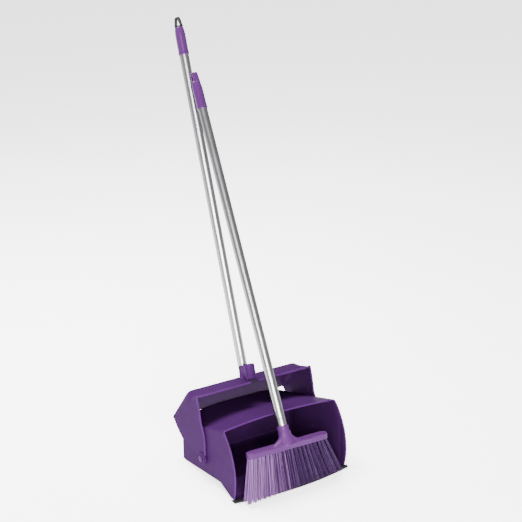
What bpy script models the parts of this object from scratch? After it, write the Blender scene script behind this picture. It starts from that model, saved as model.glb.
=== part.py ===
"""Upright dust pan with a swinging cover and handle, and its long-handled broom.

Metres, +Z up. The pan opens towards -Y. The origin is the middle of the flat
rest band under the back of the pan, on the floor.
"""

import math

import bmesh
import bpy
from mathutils import Matrix, Vector

# --- driving dimensions -------------------------------------------------------

GAP = 0.0003  # between neighbouring pieces

PAN_WIDTH = 0.330
PAN_WALL = 0.0026
REST_BAND = 0.018  # depth of the flat band under the back of the pan
PAN_BACK = REST_BAND / 2
PIVOT = Vector((0.0, -0.110, 0.056))  # the axis that the pan swings on
MOUTH_RADIUS = 0.1535  # the side walls' front edges are arcs about the pivot
MOUTH_TOP_Z = 0.1735
HOOD_SLOPE = 0.325
KNEE = Vector((0.0, -0.186, 0.020))  # where the floor turns down into the ramp
LAND_Z = 0.0018  # underside of the level front land
LAND_BACK = -0.240
LAND_FRONT = -0.259
LAND_BOW = 0.0185  # how far the middle of the front edge stands ahead of its ends
HOOD_ROUND = 0.008
MOUTH_CROWN = (0.007, 2)  # the hood's middle stands this far above its sides, and the curve's power
REAR_CROWN = (0.031, 4)
HOOD_STRIPS = 12
PIN_WAY = 0.02  # half the length of the cutters for the pins' holes

LIP_NOSE = 0.0075
LIP_OVER = 0.0060
LIP_TOP = 0.0057
LIP_SLOT = (0.0015, 0.0045)
LIP_UNDER = 0.012
LIP_HALF = 0.1685
LIP_WALL_ROOM = (0.0085, 0.015, 0.015)  # cut out of the lip round the foot of each side wall
LIP_WALL_CLEAR = 0.0012
LIP_HOLD = 0.001  # how far the tongue under the pan runs into the nose

YOKE_HALF = 0.1705
YOKE_WALL = 0.0024
FLANGE_FRONT = Vector((0.0, 0.021, 0.162))  # from the pivot: front edge of the top flange
FLANGE_SIDE_BACK = Vector((0.0, 0.064, 0.1557))
FLANGE_BACK = Vector((0.152, 0.089, 0.152))
BACK_FOOT = Vector((0.168, 0.161, 0.050))
SIDE_FOOT = Vector((0.0, 0.156, 0.052))
SIDE_LOW = Vector((0.0, 0.106, 0.010))
SIDE_HEEL = Vector((0.0, 0.034, 0.001))
SIDE_TOE = Vector((0.0, -0.0115, 0.028))
BOSS_RADIUS = 0.0175
BOSS_HEIGHT = 0.0055
BOSS_DRAFT = 0.001
CORNER_STEPS = 4  # facets round each back corner

PIN_RADIUS = 0.0045
PIN_HOLE = PIN_RADIUS + GAP
PIN_HEAD = 0.0085
PIN_HEAD_HEIGHT = 0.0022

TUBE_RADIUS = 0.012
TUBE_WALL = 0.0012
HANDLE_LEAN = math.radians(18.9)
HANDLE_FOOT = Vector((0.0, PIVOT.y + 0.0836, 0.240))  # tube's lower end, on its axis
HANDLE_LENGTH = 0.9106  # from the tube's lower end to the top of the hanging loop
PEDESTAL_TOP = 0.0105
PEDESTAL_FOOT = 0.0145
PEDESTAL_HEIGHT = 0.034
PEDESTAL_SHOULDER = 0.004
SPIGOT_LENGTH = 0.045
SPIGOT_CHAMFER = 0.002
CLIP_OFFSET = 0.033  # the clip's axis, ahead of the handle's
CLIP_OUTER = 0.0145
CLIP_INNER = 0.0121
CLIP_ARM = 0.005  # how far the clip's arms reach ahead of its axis
CLIP_WEB = 0.010  # half the width of the web back to the pedestal
WEB_SINK = 0.002  # how far the web runs into its neighbours
CHANNEL_PAST = 0.02
CLIP_SPAN = (-0.036, 0.003)  # the clip's foot and top, along the handle from the tube's end

GRIP_RADIUS = 0.0138
GRIP_LENGTH = 0.072  # up to the loop's foot
GRIP_BORE = 0.058
LOOP_LENGTH = 0.026
LOOP_HALF = 0.0105
LOOP_THICKNESS = 0.010
BROOM_LOOP_THICKNESS = 0.016
LOOP_LIMB = 0.0042
LOOP_NARROWING = 0.62  # radius of the loop's round top, as a share of its half width
LOOP_SINK = 0.004  # how far the broom's loop runs into its grip

RIVET_HEAD = 0.0034
RIVET_RISE = 0.0014
HANDLE_RIVET = 0.024  # height above the tube's lower end
BROOM_RIVET = 0.066  # height above the head's centre

HEAD_CENTRE = Vector((-0.0125, PIVOT.y - 0.1515, 0.1155))
BROOM_LEAN = math.radians(28.1)
BROOM_SIDE = math.radians(-0.9)
BROOM_LENGTH = 0.970  # from the head's centre to the top of the grip
HEAD_LENGTH = 0.234
HEAD_DEPTH = 0.027
HEAD_THICKNESS = 0.014
HEAD_ROLL = math.radians(1.2)
NECK_TOP = 0.050
NECK_RADIUS = 0.0146
NECK_BORE_FROM = 0.014
NECK_FOOT = ((0, 0), (0.021, 0), (0.0175, 0.012), (0.0152, 0.024))  # radius, height
FLARE_LOW = (0.062, 0.009, 0.002)  # half length, half depth and height of the web's foot
FLARE_HIGH = (0.013, 0.008, 0.028)
FLARE_TILT = math.radians(-10)
TUFT_COLUMNS = 20
TUFT_ROWS = 2
TUFT_ROOT_SPAN = 0.216
TUFT_TIP_SPAN = 0.280
TUFT_ROOT_ROW = 0.0065
TUFT_TIP_ROW = 0.0085
TUFT_ROOT_RADIUS = 0.0036
TUFT_TIP_RADIUS = 0.0056
TUFT_CLEAR = 0.0015  # lets the slanted outer tufts stay clear of the bar
TIP_CENTRE = Vector((-0.004, PIVOT.y - 0.168, 0.0083))
TIP_TWIST = 0.018  # the right end of the row of tips stands this far behind the left end

PURPLE = (0.088, 0.024, 0.140)
BRISTLE = (0.150, 0.060, 0.240)


# --- helpers ----------------------------------------------------------------------


def clear_scene():
    for obj in list(bpy.data.objects):
        bpy.data.objects.remove(obj, do_unlink=True)


def material(name, colour, roughness, metallic=0.0):
    made = bpy.data.materials.new(name)
    made.use_nodes = True
    shader = made.node_tree.nodes["Principled BSDF"]
    shader.inputs["Base Color"].default_value = (*colour, 1.0)
    shader.inputs["Roughness"].default_value = roughness
    shader.inputs["Metallic"].default_value = metallic
    return made


def add_object(name, bm, mat=None, smooth=True):
    """A new object from a bmesh, with its normals facing out."""
    bmesh.ops.recalc_face_normals(bm, faces=bm.faces)
    mesh = bpy.data.meshes.new(name)
    bm.to_mesh(mesh)
    bm.free()
    if smooth:
        mesh.shade_smooth()
        mesh.set_sharp_from_angle(angle=math.radians(35))
    obj = bpy.data.objects.new(name, mesh)
    bpy.context.scene.collection.objects.link(obj)
    if mat:
        mesh.materials.append(mat)
    return obj


def prism(outline, along, thickness):
    """A closed bmesh: an outline of points carried by `thickness` along `along`."""
    bm = bmesh.new()
    face = bm.faces.new([bm.verts.new(point) for point in outline])
    side = bmesh.ops.extrude_face_region(bm, geom=[face])
    moved = [item for item in side["geom"] if isinstance(item, bmesh.types.BMVert)]
    bmesh.ops.translate(bm, verts=moved, vec=Vector(along).normalized() * thickness)
    return bm


def turned(profile, segments):
    """A closed bmesh turned about Z from a list of (radius, height); radius 0 closes it."""
    bm = bmesh.new()
    rings = []
    for radius, height in profile:
        if radius == 0:
            rings.append([bm.verts.new((0, 0, height))])
            continue
        angles = [2 * math.pi * i / segments for i in range(segments)]
        ring = [(radius * math.cos(a), radius * math.sin(a), height) for a in angles]
        rings.append([bm.verts.new(point) for point in ring])
    pairs = list(zip(rings, rings[1:]))
    if profile[0][0] > 0 and profile[-1][0] > 0:
        pairs.append((rings[-1], rings[0]))
    for low, high in pairs:
        for i in range(segments):
            j = (i + 1) % segments
            corners = [low[i % len(low)], low[j % len(low)], high[j % len(high)], high[i % len(high)]]
            bm.faces.new(list(dict.fromkeys(corners)))
    return bm


def rod(radius, low, high, segments=24):
    """A plain closed cylinder about Z."""
    return turned([(0, low), (radius, low), (radius, high), (0, high)], segments)


def frame_along(origin, up, across=(1, 0, 0)):
    """A matrix with its Z along `up` and its X as near `across` as it can be."""
    z = Vector(up).normalized()
    x = (Vector(across) - Vector(across).dot(z) * z).normalized()
    y = z.cross(x)
    made = Matrix((x, y, z)).transposed().to_4x4()
    made.translation = origin
    return made


def boolean(target, other, operation):
    """Adds a Boolean modifier, and hides its helper."""
    modifier = target.modifiers.new(operation.title(), "BOOLEAN")
    modifier.operation = operation
    modifier.solver = "EXACT"
    modifier.object = other
    other.hide_render = True
    other.display_type = "WIRE"


def thicken(sheet, thickness):
    """Gives a folded sheet its wall, inwards from its outer surface."""
    shell = sheet.modifiers.new("Wall", "SOLIDIFY")
    shell.solidify_mode = "NON_MANIFOLD"
    shell.nonmanifold_thickness_mode = "CONSTRAINTS"
    shell.nonmanifold_boundary_mode = "FLAT"
    shell.thickness = thickness
    shell.offset = -1


def helper(name, bm, matrix=None):
    obj = add_object(name, bm, smooth=False)
    if matrix:
        obj.matrix_world = matrix
    return obj


def from_pivot(x, point, sign=1):
    return Vector((sign * x, PIVOT.y + point.y, PIVOT.z + point.z))


def carried_by(parent, obj):
    """Parents an object and keeps its place."""
    bpy.context.view_layer.update()
    world = obj.matrix_world.copy()
    obj.parent = parent
    obj.matrix_parent_inverse = parent.matrix_world.inverted()
    obj.matrix_world = world


def empty(name, place):
    obj = bpy.data.objects.new(name, None)
    obj.location = place
    bpy.context.scene.collection.objects.link(obj)
    bpy.context.view_layer.update()
    return obj


# --- the pan -----------------------------------------------------------------------


def bow(x):
    """How far the front edge stands ahead of its ends at this place across the pan."""
    return LAND_BOW * (1 - (2 * x / PAN_WIDTH) ** 2)


def mouth_arc(count=12):
    """Points up a side wall's front edge, as (y, z)."""
    low = math.asin((LAND_Z - PIVOT.z) / MOUTH_RADIUS)
    high = math.asin((MOUTH_TOP_Z - PIVOT.z) / MOUTH_RADIUS)
    angles = [low + (high - low) * i / count for i in range(count + 1)]
    return [
        (PIVOT.y - MOUTH_RADIUS * math.cos(a), PIVOT.z + MOUTH_RADIUS * math.sin(a))
        for a in angles
    ]


def hood_row(low, crown, y=None):
    """Points across the crowned hood; with no `y` they are the mouth's edge, on its arc."""
    half = PAN_WIDTH / 2
    rise, power = crown
    row = []
    for i in range(HOOD_STRIPS + 1):
        x = -half + PAN_WIDTH * i / HOOD_STRIPS
        z = low + rise * (1 - abs(x / half) ** power)
        on_arc = PIVOT.y - math.sqrt(MOUTH_RADIUS**2 - (z - PIVOT.z) ** 2) if y is None else y
        row.append((x, on_arc, z))
    return row


def front_edge(count=14):
    """Points along the bowed front edge from left to right, as (x, y)."""
    half = PAN_WIDTH / 2
    across = [-half + PAN_WIDTH * i / count for i in range(count + 1)]
    return [(x, LAND_FRONT - bow(x)) for x in across]


def make_pan(mat):
    """One sheet folded round the back, floor, ramp, sides and hood, then thickened inwards."""
    half = PAN_WIDTH / 2
    arc = mouth_arc()
    mouth_y, mouth_z = arc[-1]
    hood_back = mouth_z - HOOD_SLOPE * (PAN_BACK - mouth_y)
    bm = bmesh.new()
    side = {}
    for sign in (-1, 1):
        x = sign * half
        outline = [
            (PAN_BACK, hood_back),
            (PAN_BACK, 0),
            (-REST_BAND / 2, 0),
            (KNEE.y, KNEE.z),
            (LAND_BACK, LAND_Z),
        ] + arc
        side[sign] = [bm.verts.new((x, y, z)) for y, z in outline]
        bm.faces.new(side[sign])
    left, right = side[-1], side[1]
    for i in range(1, 4):
        bm.faces.new((left[i], left[i + 1], right[i + 1], right[i]))
    front_row = hood_row(mouth_z, MOUTH_CROWN)[1:-1]
    rear_row = hood_row(hood_back, REAR_CROWN, PAN_BACK)[1:-1]
    front = [left[-1]] + [bm.verts.new(point) for point in front_row] + [right[-1]]
    rear = [left[0]] + [bm.verts.new(point) for point in rear_row] + [right[0]]
    bm.faces.new([left[1]] + rear + [right[1]])
    for i in range(HOOD_STRIPS):
        bm.faces.new((front[i], rear[i], rear[i + 1], front[i + 1]))
    nose = [bm.verts.new((x, y, LAND_Z)) for x, y in front_edge()]
    bm.faces.new([left[4], left[5]] + nose + [right[5], right[4]])
    bmesh.ops.recalc_face_normals(bm, faces=bm.faces)
    folds = [bm.edges.get((front[end], rear[end])) for end in (0, -1)]
    bmesh.ops.bevel(bm, geom=folds, offset=HOOD_ROUND, segments=4, profile=0.5, affect="EDGES")
    pan = add_object("pan_bin", bm, mat)
    face_out(pan)
    thicken(pan, PAN_WALL)
    for sign in (-1, 1):
        place = frame_along(from_pivot(half, Vector(), sign), (1, 0, 0), (0, 1, 0))
        hole = rod(PIN_HOLE, -PIN_WAY / 2, PIN_WAY / 2)
        boolean(pan, helper(f"pan_hole_cutter_{sign}", hole, place), "DIFFERENCE")
    return pan


def face_out(sheet):
    """Turns a folded sheet's faces so that its top, the hood or the flange, faces up."""
    top = max(sheet.data.polygons, key=lambda face: face.center.z * face.area * abs(face.normal.z))
    if top.normal.z < 0:
        sheet.data.flip_normals()


def plan_strip(back, front, half, low, high, count=28):
    """A slab under the bowed edge: from `back` behind the edge to `front` ahead of it."""
    across = [-half + 2 * half * i / count for i in range(count + 1)]
    ahead = [(x, LAND_FRONT - bow(min(abs(x), PAN_WIDTH / 2)) - front, low) for x in across]
    behind = [(x, LAND_FRONT - bow(min(abs(x), PAN_WIDTH / 2)) + back, low) for x in across]
    return prism(ahead + behind[::-1], (0, 0, 1), high - low)


def make_lip(mat):
    """A rubber edging with a slot that the pan's front edge sits in."""
    lip = add_object("pan_lip", plan_strip(LIP_OVER, LIP_NOSE, LIP_HALF, 0, LIP_TOP), mat)
    tongue = plan_strip(LIP_UNDER, LIP_HOLD, PAN_WIDTH / 2 - 4 * LIP_HOLD, 0, LIP_SLOT[0])
    boolean(lip, helper("lip_tongue", tongue), "UNION")
    slot = plan_strip(2 * LIP_UNDER, GAP, PAN_WIDTH / 2 + GAP, LIP_SLOT[0], LIP_SLOT[1])
    boolean(lip, helper("lip_slot_cutter", slot), "DIFFERENCE")
    for sign in (-1, 1):
        room = bmesh.new()
        bmesh.ops.create_cube(room, size=1)
        wide, deep, high = LIP_WALL_ROOM
        behind = LAND_FRONT + LIP_WALL_CLEAR + deep / 2
        centre = Vector((sign * PAN_WIDTH / 2, behind, LIP_SLOT[0] + high / 2))
        place = Matrix.Translation(centre) @ Matrix.Diagonal((wide, deep, high, 1))
        boolean(lip, helper(f"lip_wall_cutter_{sign}", room, place), "DIFFERENCE")
    return lip


# --- the cover and its mouldings ---------------------------------------------------


def side_outline():
    """The cover's side panel about the pivot, as (y, z), from its top front corner down."""
    start = math.atan2(SIDE_TOE.z, SIDE_TOE.y)
    clip = math.acos(min(1, BOSS_RADIUS / SIDE_TOE.length))
    first = start + clip
    end = math.atan2(SIDE_HEEL.z, SIDE_HEEL.y) + 2 * math.pi
    last = end - math.acos(min(1, BOSS_RADIUS / SIDE_HEEL.length))
    arc = [first + (last - first) * i / 10 for i in range(11)]
    points = [(FLANGE_FRONT.y, FLANGE_FRONT.z), (SIDE_TOE.y, SIDE_TOE.z)]
    points += [(BOSS_RADIUS * math.cos(a), BOSS_RADIUS * math.sin(a)) for a in arc]
    points += [(p.y, p.z) for p in (SIDE_HEEL, SIDE_LOW, SIDE_FOOT, FLANGE_SIDE_BACK)]
    return points


def corner_run(side, back, sign):
    """Points that round a back corner of the cover from its side to its back, seen from above."""
    sharp = Vector((YOKE_HALF, back.y, back.z))
    start = Vector((YOKE_HALF, side.y, side.z))
    run = []
    for i in range(CORNER_STEPS + 1):
        t = i / CORNER_STEPS
        point = start * (1 - t) ** 2 + sharp * 2 * t * (1 - t) + back * t**2
        run.append(from_pivot(point.x, point, sign))
    return run


def make_cover(mat):
    """A folded sheet: top flange, back, two rounded back corners and two side panels."""
    bm = bmesh.new()
    top, foot = {}, {}
    for sign in (-1, 1):
        points = [from_pivot(YOKE_HALF, Vector((0, y, z)), sign) for y, z in side_outline()]
        panel = [bm.verts.new(point) for point in points]
        bm.faces.new(panel)
        top_run = corner_run(FLANGE_SIDE_BACK, FLANGE_BACK, sign)[1:]
        foot_run = corner_run(SIDE_FOOT, BACK_FOOT, sign)[1:]
        top[sign] = [panel[-1]] + [bm.verts.new(point) for point in top_run]
        foot[sign] = [panel[-2]] + [bm.verts.new(point) for point in foot_run]
        for i in range(CORNER_STEPS):
            bm.faces.new((top[sign][i], foot[sign][i], foot[sign][i + 1], top[sign][i + 1]))
        top[sign].insert(0, panel[0])
    bm.faces.new((top[-1][-1], foot[-1][-1], foot[1][-1], top[1][-1]))
    bm.faces.new(top[-1] + top[1][::-1])
    bmesh.ops.recalc_face_normals(bm, faces=bm.faces)
    cover = add_object("yoke_cover", bm, mat)
    face_out(cover)
    thicken(cover, YOKE_WALL)
    for sign, side in ((-1, "left"), (1, "right")):
        out = frame_along(from_pivot(YOKE_HALF, Vector(), sign), (sign, 0, 0), (0, 1, 0))
        foot_radius = BOSS_RADIUS - BOSS_DRAFT
        rim_radius = BOSS_RADIUS - 2 * BOSS_DRAFT
        profile = [(0, -0.001), (foot_radius, -0.001), (rim_radius, BOSS_HEIGHT), (0, BOSS_HEIGHT)]
        boolean(cover, helper(f"boss_{side}", turned(profile, 32), out), "UNION")
        hole = rod(PIN_HOLE, -PIN_WAY, PIN_WAY)
        boolean(cover, helper(f"boss_hole_{side}", hole, out), "DIFFERENCE")
    return cover


def handle_frame(height=0.0):
    """The handle's own frame at this height up its axis: Z up the tube, X across."""
    up = Vector((0, math.sin(HANDLE_LEAN), math.cos(HANDLE_LEAN)))
    return frame_along(HANDLE_FOOT + up * height, up)


def arc_points(radius, centre, first, last, steps=12):
    """Points on an arc in the plane of the tube's section, as (x, y)."""
    angles = [first + (last - first) * i / steps for i in range(steps + 1)]
    return [(radius * math.cos(a), centre + radius * math.sin(a)) for a in angles]


def add_socket(cover):
    """The pedestal with its spigot for the tube, and the open clip ahead of it."""
    bore = TUBE_RADIUS - TUBE_WALL - GAP
    profile = [
        (0, -PEDESTAL_HEIGHT),
        (PEDESTAL_FOOT, -PEDESTAL_HEIGHT),
        (PEDESTAL_TOP, -PEDESTAL_SHOULDER),
        (PEDESTAL_TOP, -GAP),
        (bore, -GAP),
        (bore, SPIGOT_LENGTH - SPIGOT_CHAMFER),
        (bore - SPIGOT_CHAMFER, SPIGOT_LENGTH),
        (0, SPIGOT_LENGTH),
    ]
    place = handle_frame()
    boolean(cover, helper("pedestal", turned(profile, 32), place), "UNION")
    foot, top = CLIP_SPAN
    front = -CLIP_OFFSET - CLIP_ARM
    outer = arc_points(CLIP_OUTER, -CLIP_OFFSET, 0, math.pi)
    block = [(CLIP_OUTER, front)] + outer + [(-CLIP_OUTER, front)]
    clip = prism([(x, y, foot) for x, y in block], (0, 0, 1), top - foot)
    boolean(cover, helper("clip", clip, place), "UNION")
    back = -CLIP_OFFSET + CLIP_OUTER - WEB_SINK
    web = [(-CLIP_WEB, -WEB_SINK), (-CLIP_WEB, back), (CLIP_WEB, back), (CLIP_WEB, -WEB_SINK)]
    web_solid = prism([(x, y, foot) for x, y in web], (0, 0, 1), -WEB_SINK - foot)
    boolean(cover, helper("clip_web", web_solid, place), "UNION")
    inner = arc_points(CLIP_INNER, -CLIP_OFFSET, 0, math.pi)
    past = front - CHANNEL_PAST
    channel = [(CLIP_INNER, past)] + inner + [(-CLIP_INNER, past)]
    cut = prism([(x, y, foot - CHANNEL_PAST) for x, y in channel], (0, 0, 1), top - foot + 2 * CHANNEL_PAST)
    boolean(cover, helper("clip_channel_cutter", cut, place), "DIFFERENCE")


def make_pins(mat):
    """At each side a headed pivot pin, flush with the inside of the pan's wall."""
    made = []
    inside = PAN_WIDTH / 2 - PAN_WALL
    for sign, side in ((-1, "left"), (1, "right")):
        seat = YOKE_HALF + BOSS_HEIGHT + GAP
        profile = [
            (0, inside),
            (PIN_RADIUS, inside),
            (PIN_RADIUS, seat),
            (PIN_HEAD, seat),
            (PIN_HEAD * 0.93, seat + PIN_HEAD_HEIGHT * 0.6),
            (PIN_HEAD * 0.6, seat + PIN_HEAD_HEIGHT),
            (0, seat + PIN_HEAD_HEIGHT),
        ]
        place = frame_along(Vector((0, PIVOT.y, PIVOT.z)), (sign, 0, 0), (0, 1, 0))
        pin = add_object(f"pivot_pin_{side}", turned(profile, 24), mat)
        pin.matrix_world = place
        made.append(pin)
    return made


# --- tubes, rivets and grips -----------------------------------------------------------


def make_tube(name, low, length, place, mat):
    inner = TUBE_RADIUS - TUBE_WALL
    profile = [(TUBE_RADIUS, low), (TUBE_RADIUS, low + length), (inner, low + length), (inner, low)]
    tube = add_object(name, turned(profile, 32), mat)
    tube.matrix_world = place
    return tube


def make_rivet(name, height, place, out, mat):
    """A dome-headed rivet on the outside of a tube; `out` is its direction in the tube's frame."""
    start = TUBE_RADIUS + GAP
    profile = [
        (0, start),
        (RIVET_HEAD, start),
        (RIVET_HEAD * 0.8, start + RIVET_RISE * 0.6),
        (RIVET_HEAD * 0.4, start + RIVET_RISE * 0.93),
        (0, start + RIVET_RISE),
    ]
    rivet = add_object(name, turned(profile, 16), mat)
    spin = frame_along(Vector((0, 0, height)), out, (0, 0, 1))
    rivet.matrix_world = place @ spin
    return rivet


GRIP_PROFILE = (
    (0, 0),
    (GRIP_RADIUS - 0.0006, 0),
    (GRIP_RADIUS, 0.0012),
    (GRIP_RADIUS, 0.006),
    (GRIP_RADIUS - 0.0005, 0.009),
    (GRIP_RADIUS - 0.0005, GRIP_LENGTH - 0.014),
    (LOOP_HALF + 0.0008, GRIP_LENGTH),
    (0, GRIP_LENGTH),
)


def make_grip(name, top, place, mat):
    """The cap over the tube's end; `top` is the height of the loop's top up the axis."""
    grip = add_object(name, turned(GRIP_PROFILE, 32), mat)
    grip.matrix_world = place @ Matrix.Translation((0, 0, top - LOOP_LENGTH - GRIP_LENGTH))
    radius = TUBE_RADIUS + GAP
    bore = rod(radius, -GRIP_BORE, GRIP_BORE, 32)
    boolean(grip, helper(f"{name}_bore_cutter", bore, grip.matrix_world), "DIFFERENCE")
    return grip


def loop_outline(half, low, high, inset=0.0):
    """A hanging loop's outline in its own plane: straight sides, narrowing to a round top."""
    round_top = half * LOOP_NARROWING
    top_radius = round_top - inset
    centre = high - round_top
    arc = [math.pi * i / 8 for i in range(9)]
    points = [(half - inset, low)]
    points += [(top_radius * math.cos(a), centre + top_radius * math.sin(a)) for a in arc]
    points += [(-half + inset, low)]
    return points


def loop_shape(turn, foot, thickness):
    """The loop as a slab, and its opening, across the direction at angle `turn`."""
    across = Vector((math.cos(turn), math.sin(turn), 0))
    normal = Vector((-math.sin(turn), math.cos(turn), 0))
    up = Vector((0, 0, 1))
    slab = [
        across * a + up * b - normal * thickness / 2
        for a, b in loop_outline(LOOP_HALF, foot, LOOP_LENGTH)
    ]
    hole = [
        across * a + up * b - normal * thickness
        for a, b in loop_outline(LOOP_HALF, LOOP_LIMB, LOOP_LENGTH, LOOP_LIMB)
    ]
    return prism(slab, normal, thickness), prism(hole, normal, 2 * thickness)


def make_handle_loop(place, mat):
    """The separate loop plugged into the top of the dust pan's grip."""
    base = place @ Matrix.Translation((0, 0, HANDLE_LENGTH - LOOP_LENGTH))
    slab, hole = loop_shape(0, GAP, LOOP_THICKNESS)
    loop = add_object("handle_hang_loop", slab, mat)
    loop.matrix_world = base
    boolean(loop, helper("handle_loop_cutter", hole, base), "DIFFERENCE")
    return loop


def add_broom_loop(grip, place):
    """The broom's loop is one piece with its grip, turned a quarter round."""
    base = place @ Matrix.Translation((0, 0, BROOM_LENGTH - LOOP_LENGTH))
    slab, hole = loop_shape(math.pi / 2, -LOOP_SINK, BROOM_LOOP_THICKNESS)
    boolean(grip, helper("broom_loop", slab, base), "UNION")
    boolean(grip, helper("broom_loop_cutter", hole, base), "DIFFERENCE")


# --- the broom ---------------------------------------------------------------------------


def broom_frame():
    """The broom tube's frame: Z up the tube, origin in the middle of the head."""
    up = Vector(
        (
            -math.sin(BROOM_SIDE),
            math.sin(BROOM_LEAN) * math.cos(BROOM_SIDE),
            math.cos(BROOM_LEAN) * math.cos(BROOM_SIDE),
        )
    )
    return frame_along(HEAD_CENTRE, up)


def head_frame():
    """The head's frame: X along the bar, Z up from the tufts through the bar."""
    across = Vector((math.cos(HEAD_ROLL), 0, -math.sin(HEAD_ROLL)))
    up = HEAD_CENTRE - TIP_CENTRE
    return frame_along(HEAD_CENTRE, up - up.dot(across) * across, across)


def make_head(mat):
    """The bar that holds the tufts, flared up into the neck that holds the tube."""
    half = HEAD_LENGTH / 2
    low = -HEAD_THICKNESS / 2
    ends = HEAD_DEPTH / 2
    arc = [-math.pi / 2 + math.pi * i / 8 for i in range(9)]
    right = [(half - ends + ends * math.cos(a), ends * math.sin(a), low) for a in arc]
    left = [(-x, -y, z) for x, y, z in right]
    bar = prism(right + left, (0, 0, 1), HEAD_THICKNESS)
    head = add_object("broom_head", bar, mat)
    head.matrix_world = head_frame()
    place = broom_frame()
    neck = [*NECK_FOOT, (NECK_RADIUS, NECK_TOP), (0, NECK_TOP)]
    boolean(head, helper("broom_neck", turned(neck, 32), place), "UNION")
    flare = bmesh.new()
    rings = []
    for long, deep, height in (FLARE_LOW, FLARE_HIGH):
        corners = [(long, -deep), (long, deep), (-long, deep), (-long, -deep)]
        rings.append([flare.verts.new((x, y, height)) for x, y in corners])
    bottom, top = rings
    flare.faces.new(bottom)
    flare.faces.new(top[::-1])
    for i in range(4):
        j = (i + 1) % 4
        flare.faces.new((bottom[i], bottom[j], top[j], top[i]))
    tilted = head_frame() @ Matrix.Rotation(FLARE_TILT, 4, "X")
    boolean(head, helper("broom_flare", flare, tilted), "UNION")
    bore = rod(TUBE_RADIUS + GAP, NECK_BORE_FROM, 2 * NECK_TOP, 32)
    boolean(head, helper("neck_bore_cutter", bore, place), "DIFFERENCE")
    return head


def make_tufts(mat):
    """Rows of bristle tufts that fan out from the bar, each a tapered bundle."""
    made = []
    across, deep, up = (Vector(column[:3]) for column in head_frame().col[:3])
    foot = HEAD_CENTRE - up * (HEAD_THICKNESS / 2 + TUFT_CLEAR)
    for row in range(TUFT_ROWS):
        side = 2 * row - 1
        for column in range(TUFT_COLUMNS):
            share = column / (TUFT_COLUMNS - 1) - 0.5
            root = foot + across * (share * TUFT_ROOT_SPAN) + deep * (side * TUFT_ROOT_ROW)
            behind = share * TIP_TWIST + side * TUFT_TIP_ROW
            tip = TIP_CENTRE + Vector((share * TUFT_TIP_SPAN, behind, 0))
            length = (tip - root).length
            profile = [(0, 0), (TUFT_TIP_RADIUS, 0), (TUFT_ROOT_RADIUS, length), (0, length)]
            bundle = turned(profile, 8)
            name = f"tuft_{'front' if side < 0 else 'back'}_{column + 1:02d}"
            tuft = add_object(name, bundle, mat)
            tuft.matrix_world = frame_along(tip, root - tip, across)
            made.append(tuft)
    return made


def main():
    clear_scene()
    purple = material("purple_plastic", PURPLE, 0.42)
    rubber = material("black_rubber", (0.012, 0.012, 0.013), 0.7)
    black = material("black_plastic", (0.018, 0.016, 0.020), 0.45)
    tube_metal = material("satin_aluminium", (0.80, 0.80, 0.82), 0.32, 1.0)
    steel = material("steel", (0.62, 0.62, 0.64), 0.35, 1.0)
    bristle = material("bristle", BRISTLE, 0.5)

    handle_root = empty("handle_assembly", HANDLE_FOOT)
    pan_hinge = empty("pan_hinge", PIVOT)
    broom_lift = empty("broom_lift", HEAD_CENTRE)

    pan_pieces = [make_pan(purple), make_lip(rubber)]
    cover = make_cover(purple)
    add_socket(cover)
    up = handle_frame()
    handle_pieces = [cover] + make_pins(purple)
    tube_top = HANDLE_LENGTH - LOOP_LENGTH - GRIP_LENGTH + GRIP_BORE - GAP
    handle_pieces.append(make_tube("handle_tube", 0, tube_top, up, tube_metal))
    handle_pieces.append(make_rivet("handle_rivet", HANDLE_RIVET, up, (-0.5, -1, 0), steel))
    handle_pieces.append(make_grip("handle_grip", HANDLE_LENGTH, up, purple))
    handle_pieces.append(make_handle_loop(up, black))

    lean = broom_frame()
    tube_foot = NECK_BORE_FROM + GAP
    tube_top = BROOM_LENGTH - LOOP_LENGTH - GRIP_LENGTH + GRIP_BORE - GAP
    broom_grip = make_grip("broom_grip", BROOM_LENGTH, lean, purple)
    add_broom_loop(broom_grip, lean)
    broom_pieces = [
        make_head(purple),
        make_tube("broom_tube", tube_foot, tube_top - tube_foot, lean, tube_metal),
        make_rivet("broom_rivet", BROOM_RIVET, lean, (-0.5, -1, 0), steel),
        broom_grip,
    ] + make_tufts(bristle)

    groups = ((handle_root, handle_pieces), (pan_hinge, pan_pieces), (broom_lift, broom_pieces))
    for parent, pieces in groups:
        for piece in pieces:
            carried_by(parent, piece)


main()
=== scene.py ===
import math
import random

import bmesh
import bpy
from mathutils import Matrix, Vector


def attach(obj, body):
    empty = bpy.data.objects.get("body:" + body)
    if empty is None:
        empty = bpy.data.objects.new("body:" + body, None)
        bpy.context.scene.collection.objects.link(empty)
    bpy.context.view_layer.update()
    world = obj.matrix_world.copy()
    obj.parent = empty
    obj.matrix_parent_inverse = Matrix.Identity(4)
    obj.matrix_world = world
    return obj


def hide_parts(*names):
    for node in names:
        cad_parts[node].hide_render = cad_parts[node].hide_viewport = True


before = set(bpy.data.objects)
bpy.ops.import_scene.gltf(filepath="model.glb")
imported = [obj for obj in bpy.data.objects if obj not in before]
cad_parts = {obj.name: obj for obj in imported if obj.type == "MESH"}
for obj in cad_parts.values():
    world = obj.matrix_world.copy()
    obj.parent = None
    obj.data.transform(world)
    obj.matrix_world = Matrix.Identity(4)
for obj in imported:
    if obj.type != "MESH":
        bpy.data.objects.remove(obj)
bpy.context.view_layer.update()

# Metres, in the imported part's frame: +Z up, the pan opens towards -Y.

PIVOT_Y, PIVOT_Z = -0.110, 0.056  # the axis that the pan swings on
HANDLE, PAN, BROOM = "handle_and_cover", "pan", "broom"

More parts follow.
